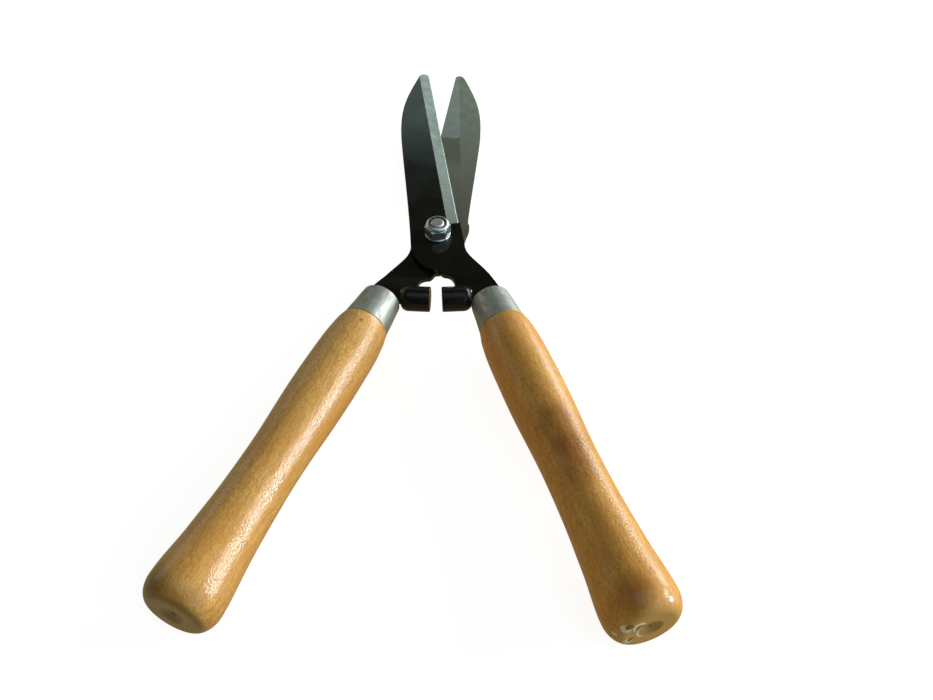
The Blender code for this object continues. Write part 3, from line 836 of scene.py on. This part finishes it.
def washer(name, node, low, zinc):
    inner = BOLT_RADIUS + GAP
    top = low + WASHER_HEIGHT
    corners = [(inner, low), (WASHER_RADIUS, low), (WASHER_RADIUS, top), (inner, top)]
    made = solid(name, turned(soften(corners, 0.55 * MM)))
    return finished(made, Matrix.Translation(PIVOT), "rear_half", [node], [zinc])


def hexagon(turn=0.0):
    """The section of the nut and of the bolt's head."""
    return circle(NUT_FLATS / 2 / cos(pi / 6), 6, turn)


def corner_cone(height, facing):
    """A ring that trims the hexagon's corners at 30 degrees on one end."""
    start = NUT_FLATS / 2 * CORNER_TRIM
    reach = 4.0 * MM
    profile = [(start, height + facing * 1e-5), (start + reach, height - facing * reach * CORNER_SLOPE)]
    profile += [(start + reach, height + facing * reach), (start, height + facing * reach)]
    return turned(profile)


def hexagon_rim(rim):
    """Whether an edge is one of the hexagon's or the collar's corners."""
    faces = rim.link_faces
    return radians(25.0) < faces[0].normal.angle(faces[1].normal, 0.0) < radians(100.0)


def nut(low, zinc):
    """Lock nut: hexagon with trimmed corners, and a rolled collar over the insert."""
    hexagon_top = low + NUT_HEX_HEIGHT
    made = solid("lock_nut", prism(hexagon(NUT_TURN), low, hexagon_top))
    top = low + NUT_HEIGHT
    combined(made, corner_cone(low, -1))
    combined(made, corner_cone(hexagon_top, 1))
    dome = 1.9 * MM
    neck = NUT_COLLAR_RADIUS
    profile = [(0.0, hexagon_top - 0.5 * MM), (neck, hexagon_top - 0.5 * MM), (neck, top - dome)]
    for step in range(1, 13):
        turn = pi / 2 * step / 12
        profile.append((neck - dome + dome * sin(pi / 2 - turn), top - dome + dome * sin(turn)))
    profile.append((0.0, top))
    combined(made, turned(profile), "UNION")
    combined(made, prism(circle(BOLT_RADIUS + GAP, ROUND), low - PLATE, top + PLATE))
    combined(made, prism(circle(INSERT_RADIUS, ROUND), top - INSERT_HEIGHT - GAP, top + PLATE))
    flat_faces(round_rims(made, 0.22 * MM, hexagon_rim))
    return finished(made, Matrix.Translation(PIVOT), "rear_half", ["pivot_nut"], [zinc])


def insert_ring(nut_top, nylon):
    """The plastic ring under the nut's rolled collar."""
    inner = BOLT_RADIUS + GAP / 2
    outer = INSERT_RADIUS - GAP / 2
    low = nut_top - INSERT_HEIGHT
    top = nut_top - 0.45 * MM
    corners = [(inner, low), (outer, low), (outer, top), (inner, top)]
    made = solid("locking_ring", turned(soften(corners, 0.3 * MM)))
    return finished(made, Matrix.Translation(PIVOT), "rear_half", ["nylon_insert"], [nylon])


def bolt(head_top, end, zinc, dull):
    """Hexagon bolt, head down; the end above the nut is chamfered through the last thread."""
    made = solid("pivot_bolt_whole", prism(hexagon(), head_top - HEAD_HEIGHT, head_top))
    combined(made, corner_cone(head_top - HEAD_HEIGHT, -1))
    profile = [(0.0, head_top - 1.0 * MM), (BOLT_RADIUS, head_top - 1.0 * MM)]
    pitch = 1.5 * MM
    depth = 0.55 * MM
    thread_end = end - 1.3 * MM
    for ridge in range(7, 0, -1):
        low = thread_end - ridge * pitch
        profile += [(BOLT_RADIUS, low), (BOLT_RADIUS - depth, low + pitch / 2)]
    profile += [(BOLT_RADIUS, thread_end), (BOLT_RADIUS - 0.6 * MM, end - 0.75 * MM)]
    profile += [(BOLT_RADIUS - 0.85 * MM, end - 0.35 * MM), (BOLT_RADIUS - 1.3 * MM, end - 0.08 * MM)]
    profile += [(BOLT_RADIUS - 1.9 * MM, end), (BOLT_RADIUS - 3.2 * MM, end - 0.03 * MM), (0.0, end - 0.15 * MM)]
    combined(made, turned(profile), "UNION")
    for finish in (zinc, dull):
        made.data.materials.append(finish)
    for face in made.data.polygons:
        face.material_index = 1 if face.center.z > head_top + 1.0 * MM else 0
    round_rims(made, 0.22 * MM, lambda rim: hexagon_rim(rim) and rim.verts[0].co.z < head_top)
    return finished(made, Matrix.Translation(PIVOT), "rear_half", ["pivot_bolt"])


def pivot_stack(zinc, dull, nylon):
    plate_top = MATING_GAP + PLATE
    nut_low = plate_top + GAP + WASHER_HEIGHT + GAP
    head_washer_low = -plate_top - GAP - WASHER_HEIGHT
    washer("washer_under_nut", "nut_washer", plate_top + GAP, zinc)
    washer("washer_under_head", "head_washer", head_washer_low, zinc)
    nut(nut_low, zinc)
    insert_ring(nut_low + NUT_HEIGHT, nylon)
    bolt(head_washer_low - GAP, nut_low + NUT_HEIGHT + 0.3 * MM, zinc, dull)


# ---- Buffers, ferrules and handles ----


def buffer(side, rubber):
    """A rubber stop over the lug: flat face with a small rim, rounded back and a blind slot."""
    back = 5.4 * MM
    front = 0.8 * MM
    start = MATING_GAP
    end = start + BUFFER_LENGTH
    profile = [(0.0, start)]
    for step in range(7):
        turn = pi / 2 * step / 6
        profile.append((BUFFER_RADIUS - front + front * sin(turn), start + front - front * cos(turn)))
    for step in range(17):
        turn = pi / 2 * step / 16
        profile.append((BUFFER_RADIUS - back + back * cos(turn), end - back + back * sin(turn)))
    profile.append((0.0, end))
    shape = turned(profile, 64)
    bmesh.ops.rotate(shape, matrix=Matrix.Rotation(pi / 2, 3, "Y"), verts=shape.verts)
    bmesh.ops.translate(shape, vec=(0.0, BUFFER_Y, 0.0), verts=shape.verts)
    made = solid(side + "_rubber_stop", shape)
    half_width = LUG_HALF_WIDTH + GAP
    half_height = PLATE / 2 + GAP
    slot = [(LUG_TIP - GAP, -half_width), (ARM_INNER + PLATE, -half_width)]
    slot += [(ARM_INNER + PLATE, half_width), (LUG_TIP - GAP, half_width)]
    combined(made, prism([(x, y + BUFFER_Y) for x, y in slot], -half_height, half_height))
    made.data.shade_smooth()
    made.data.set_sharp_from_angle(angle=radians(40.0))
    place, body = HALVES[side]
    return finished(made, place, body, [side + "_buffer"], [rubber])


def handle_place(side):
    """Where a turned piece goes: its Z axis lies along the handle, from the ferrule's front rim."""
    front, angle = HANDLE_SEATS[side]
    half, body = HALVES[side]
    place = Matrix.Translation(front) @ Matrix.Rotation(angle, 4, "Z") @ Matrix.Rotation(pi / 2, 4, "X")
    return half @ place, body


def ferrule(side, tinned):
    """Drawn tube with its front rim curled in, a rolled rear lip and shallow dents."""
    curl = 1.6 * MM
    lip = 0.25 * MM
    taper = (FERRULE_BACK_RADIUS - FERRULE_FRONT_RADIUS) / FERRULE_LENGTH
    outer_front = FERRULE_FRONT_RADIUS + taper * curl
    profile = [(FERRULE_MOUTH, FERRULE_WALL), (FERRULE_MOUTH, 0.0)]
    for step in range(9):
        turn = pi / 2 * step / 8
        profile.append((outer_front - curl + curl * sin(turn), curl - curl * cos(turn)))
    lip_start = FERRULE_LENGTH - 1.1 * MM
    stations = 22
    for step in range(1, stations + 1):
        along = curl + (lip_start - curl) * step / stations
        profile.append((FERRULE_FRONT_RADIUS + taper * along, along))
    for step in range(7):
        turn = pi * step / 6
        along = lip_start + 0.55 * MM - 0.5 * MM * cos(turn)
        profile.append((FERRULE_FRONT_RADIUS + taper * along + lip * sin(turn), along))
    profile.append((FERRULE_BACK_RADIUS - FERRULE_WALL, FERRULE_LENGTH))
    profile.append((FERRULE_FRONT_RADIUS - FERRULE_WALL + taper * FERRULE_WALL, FERRULE_WALL))
    shape = turned(profile)
    seed = 3.0 if side == "left" else 11.0
    for vert in shape.verts:
        radius = vert.co.xy.length
        if radius < FERRULE_FRONT_RADIUS - 0.3 * MM or vert.co.z < curl:
            continue
        sag = 0.14 * MM * noise.noise(vert.co * 130.0 + Vector((seed, 0.0, 0.0)))
        vert.co.xy *= 1.0 + sag / radius
    made = solid(side + "_ferrule_shell", shape, 50.0)
    place, body = handle_place(side)
    return finished(made, place, body, [side + "_ferrule"], [tinned])


def grip_radius(along):
    """Radius of the turned grip, as one smooth curve through the profile points."""
    points = [(t * MM, r * MM) for t, r in GRIP_PROFILE] + [(BUTT_WIDEST, BUTT_RADIUS)]
    slopes = []
    for index in range(len(points)):
        before = points[max(index - 1, 0)]
        after = points[min(index + 1, len(points) - 1)]
        slopes.append((after[1] - before[1]) / (after[0] - before[0]))
    slopes[-1] = 0.0
    index = max(i for i in range(len(points) - 1) if points[i][0] <= along + 1e-9)
    (start, low), (end, high) = points[index], points[index + 1]
    t = (along - start) / (end - start)
    ease = t * t * (3 - 2 * t)
    pull_start = slopes[index] * (end - start) * t * (1 - t) ** 2
    pull_end = slopes[index + 1] * (end - start) * t * t * (t - 1)
    return low + (high - low) * ease + pull_start + pull_end


def butt_face():
    """The end face from its rounding inwards: a dished, scored mark of the lathe's centre, with a hole in it."""
    profile = []
    flat = BUTT_RADIUS - BUTT_ROUNDING
    for step in range(1, 8):
        profile.append((flat + (DISH_RADIUS - flat) * step / 8, HANDLE_END))
    bottom = CENTRE_HOLE_RADIUS + 0.7 * MM
    deep = HANDLE_END - DISH_DEPTH
    profile += rounded((flat, HANDLE_END), (DISH_RADIUS, HANDLE_END), (bottom, deep), 0.6 * MM)
    for step in range(2, 12):
        share = step / 12
        scored = 0.05 * MM * (step % 2)
        profile.append((DISH_RADIUS + (bottom - DISH_RADIUS) * share, HANDLE_END - DISH_DEPTH * share - scored))
    profile += [(bottom, deep), (CENTRE_HOLE_RADIUS + 0.2 * MM, deep + 0.15 * MM)]
    profile += [(CENTRE_HOLE_RADIUS, deep), (0.0, HANDLE_END - CENTRE_HOLE_DEPTH)]
    return profile


def handle(side, wood):
    """A turned handle: tang bore, tenon, grip with the lathe's slight waviness, rounded butt."""
    front = 1.6 * MM
    bore_end = TANG_LENGTH + 8.0 * MM
    tenon_front = FERRULE_FRONT_RADIUS - FERRULE_WALL - GAP
    tenon_back = FERRULE_BACK_RADIUS - FERRULE_WALL - GAP
    profile = [(0.0, bore_end + 2.5 * MM), (TANG_BORE_RADIUS, bore_end), (TANG_BORE_RADIUS, front)]
    profile += [(tenon_front, front), (tenon_back, FERRULE_LENGTH + GAP)]
    stations = 110
    start = GRIP_PROFILE[0][0] * MM
    for step in range(stations + 1):
        along = start + (BUTT_WIDEST - start) * step / stations
        profile.append((grip_radius(along), along))
    depth = HANDLE_END - BUTT_WIDEST
    for step in range(1, 17):
        turn = pi / 2 * step / 16
        profile.append((BUTT_RADIUS - BUTT_ROUNDING * (1 - cos(turn)), BUTT_WIDEST + depth * sin(turn)))
    profile += butt_face()
    shape = turned(profile)
    seed = 5.0 if side == "left" else 19.0
    for vert in shape.verts:
        radius = vert.co.xy.length
        if radius < TANG_BORE_RADIUS + 1.0 * MM or vert.co.z < start + 1.0 * MM or vert.co.z > BUTT_WIDEST:
            continue
        spot = Vector((vert.co.x * 70.0, vert.co.y * 70.0, vert.co.z * 45.0 + seed))
        swell = 0.11 * MM * noise.noise(spot)
        vert.co.xy *= 1.0 + swell / radius
    made = solid(side + "_grip", shape, 45.0)
    place, body = handle_place(side)
    return finished(made, place, body, [side + "_handle"], [wood])


# ---- Surroundings ----


def floor():
    """A plain pale table under the tool, lit a little from within, so that no shadow greys it.

    It throws no light on the tool: what the tool gets from below comes from the world's last patch.
    """
    low = CAD_BOX[0].z - 0.2 * MM
    shape = bmesh.new()
    corners = [shape.verts.new((x * 8.0, y * 8.0, low)) for x, y in ((-1, -1), (1, -1), (1, 1), (-1, 1))]
    shape.faces.new(corners)
    made = solid("floor", shape)
    finish, tree, shader = new_material("pale_table")
    mottled = noisy(tree, 3.0, detail=3.0)
    fill(tree, shader, {"Base Color": mixed(tree, mottled, (0.38, 0.38, 0.38), (0.42, 0.42, 0.41))})
    shader.inputs["Roughness"].default_value = 0.85
    shader.inputs["Specular IOR Level"].default_value = 0.1
    shader.inputs["Emission Color"].default_value = (1.0, 1.0, 1.0, 1.0)
    shader.inputs["Emission Strength"].default_value = 0.88
    made.data.materials.append(finish)
    made.visible_diffuse = False
    made.visible_glossy = False


def softbox(name, ends, height, power, colour):
    """A rectangular area light whose long side runs between two ends; it faces the middle of the tool."""
    first, last = Vector(ends[0]), Vector(ends[1])
    centre = (first + last) / 2
    lamp = bpy.data.lights.new(name, "AREA")
    lamp.shape = "RECTANGLE"
    lamp.size = (last - first).length
    lamp.size_y = height
    lamp.energy = power
    lamp.color = colour
    made = bpy.data.objects.new(name, lamp)
    bpy.context.scene.collection.objects.link(made)
    long_side = (last - first).normalized()
    away = centre - Vector(LIGHT_TARGET)
    away = (away - long_side * away.dot(long_side)).normalized()
    up = away.cross(long_side)
    made.matrix_world = Matrix.Translation(centre) @ Matrix((long_side, up, away)).transposed().to_4x4()


def world():
    """A dim warm room with soft patches of light, each given by the directions between which it fades in."""
    room = bpy.data.worlds.new("room")
    bpy.context.scene.world = room
    room.use_nodes = True
    tree = room.node_tree
    tree.nodes.clear()
    out = tree.nodes.new("ShaderNodeOutputWorld")
    coords = tree.nodes.new("ShaderNodeTexCoord")
    split = tree.nodes.new("ShaderNodeSeparateXYZ")
    fill(tree, split, {"Vector": coords.outputs["Generated"]})
    x, y, z = (split.outputs[axis] for axis in "XYZ")
    beyond_tips = ((y, 0.15, 0.75), (z, 0.612, 0.580), (z, 0.49, 0.535), (x, 0.22, 0.12), (x, -0.30, -0.12))
    beyond_tips_right = ((y, 0.15, 0.75), (z, 0.60, 0.50), (z, 0.33, 0.40), (x, 0.10, 0.22), (x, 0.40, 0.26))
    left = ((x, -0.35, -0.95), (z, 0.60, 0.15))
    low_left = ((x, -0.20, -0.45), (y, 0.15, 0.45), (z, 0.52, 0.38), (z, 0.05, 0.20))
    overhead = ((z, 0.86, 0.93), (y, 0.25, 0.10))
    front_right = ((x, 0.05, 0.40), (y, -0.10, -0.35), (z, 0.08, 0.22))
    below = ((z, 0.02, -0.10),)
    patches = (
        (beyond_tips, (0.82, 1.12, 1.08)),
        (beyond_tips_right, (1.05, 1.38, 1.33)),
        (left, (0.15, 0.12, 0.08)),
        (low_left, (0.95, 0.93, 0.80)),
        (overhead, (0.60, 0.76, 0.80)),
        (front_right, (0.68, 0.82, 0.87)),
        (below, (0.37, 0.29, 0.15)),
    )
    colour = (0.062, 0.054, 0.034)
    for borders, light in patches:
        share = 1.0
        for border in borders:
            share = times(tree, share, ranged(tree, *border))
        colour = mixed(tree, share, colour, light)
    background = tree.nodes.new("ShaderNodeBackground")
    fill(tree, background, {"Color": colour, "Strength": 1.0})
    tree.links.new(background.outputs["Background"], out.inputs["Surface"])


def lights():
    """A window, a curtain and a low pane, all on the right of the tool and beyond it."""
    softbox("window", ((2.49, -0.22, 1.03), (2.37, 0.88, 0.88)), 0.45, 31.0, (1.0, 0.99, 0.97))
    softbox("curtain", ((2.29, 1.22, 0.52), (1.33, 2.20, 0.52)), 0.85, 33.0, (1.0, 0.99, 0.97))
    softbox("pane", ((2.58, -0.42, 0.25), (2.58, 0.22, 0.25)), 0.45, 38.0, (0.74, 0.89, 1.0))


def camera():
    data = bpy.data.cameras.new("camera")
    data.sensor_width = SENSOR
    data.lens = LENS
    data.clip_start = 0.01
    data.clip_end = 50.0
    made = bpy.data.objects.new("camera", data)
    bpy.context.scene.collection.objects.link(made)
    made.location = CAMERA_PLACE
    made.rotation_euler = (CAMERA_TILT, 0.0, 0.0)
    bpy.context.scene.camera = made


def build():
    camera()
    world()
    lights()
    floor()
    bpy.context.scene.view_settings.view_transform = "Standard"

    across_blade, along_blade = (0.05, 1.0, 1.0), (1.0, 0.04, 1.0)
    coats = [coated_steel(), worn_rim()]
    coats.append(ground_steel("ground_bevel", (0.40, 0.40, 0.38), (0.54, 0.545, 0.52), 0.22, 0.30, across_blade))
    face_colours = (0.34, 0.305, 0.26), (0.40, 0.365, 0.315)
    coats.append(ground_steel("ground_face", *face_colours, 0.22, 0.26, along_blade, second_pass=True))
    coats.append(ground_steel("honed_edge", (0.24, 0.28, 0.28), (0.32, 0.37, 0.37), 0.40, 0.50, across_blade))
    blade("right", "upper_blade", "front_blade", coats)
    blade("left", "lower_blade", "rear_blade", coats)

    pivot_stack(zinc_plate(), bolt_end_zinc(), dark_nylon())

    rubber = black_rubber()
    tinned = ferrule_plate()
    for side, lacquer, chips in (("right", 0.42, True), ("left", 0.75, False)):
        buffer(side, rubber)
        ferrule(side, tinned)
        handle(side, lacquered_wood(side + "_lacquered_wood", lacquer, chips))


build()
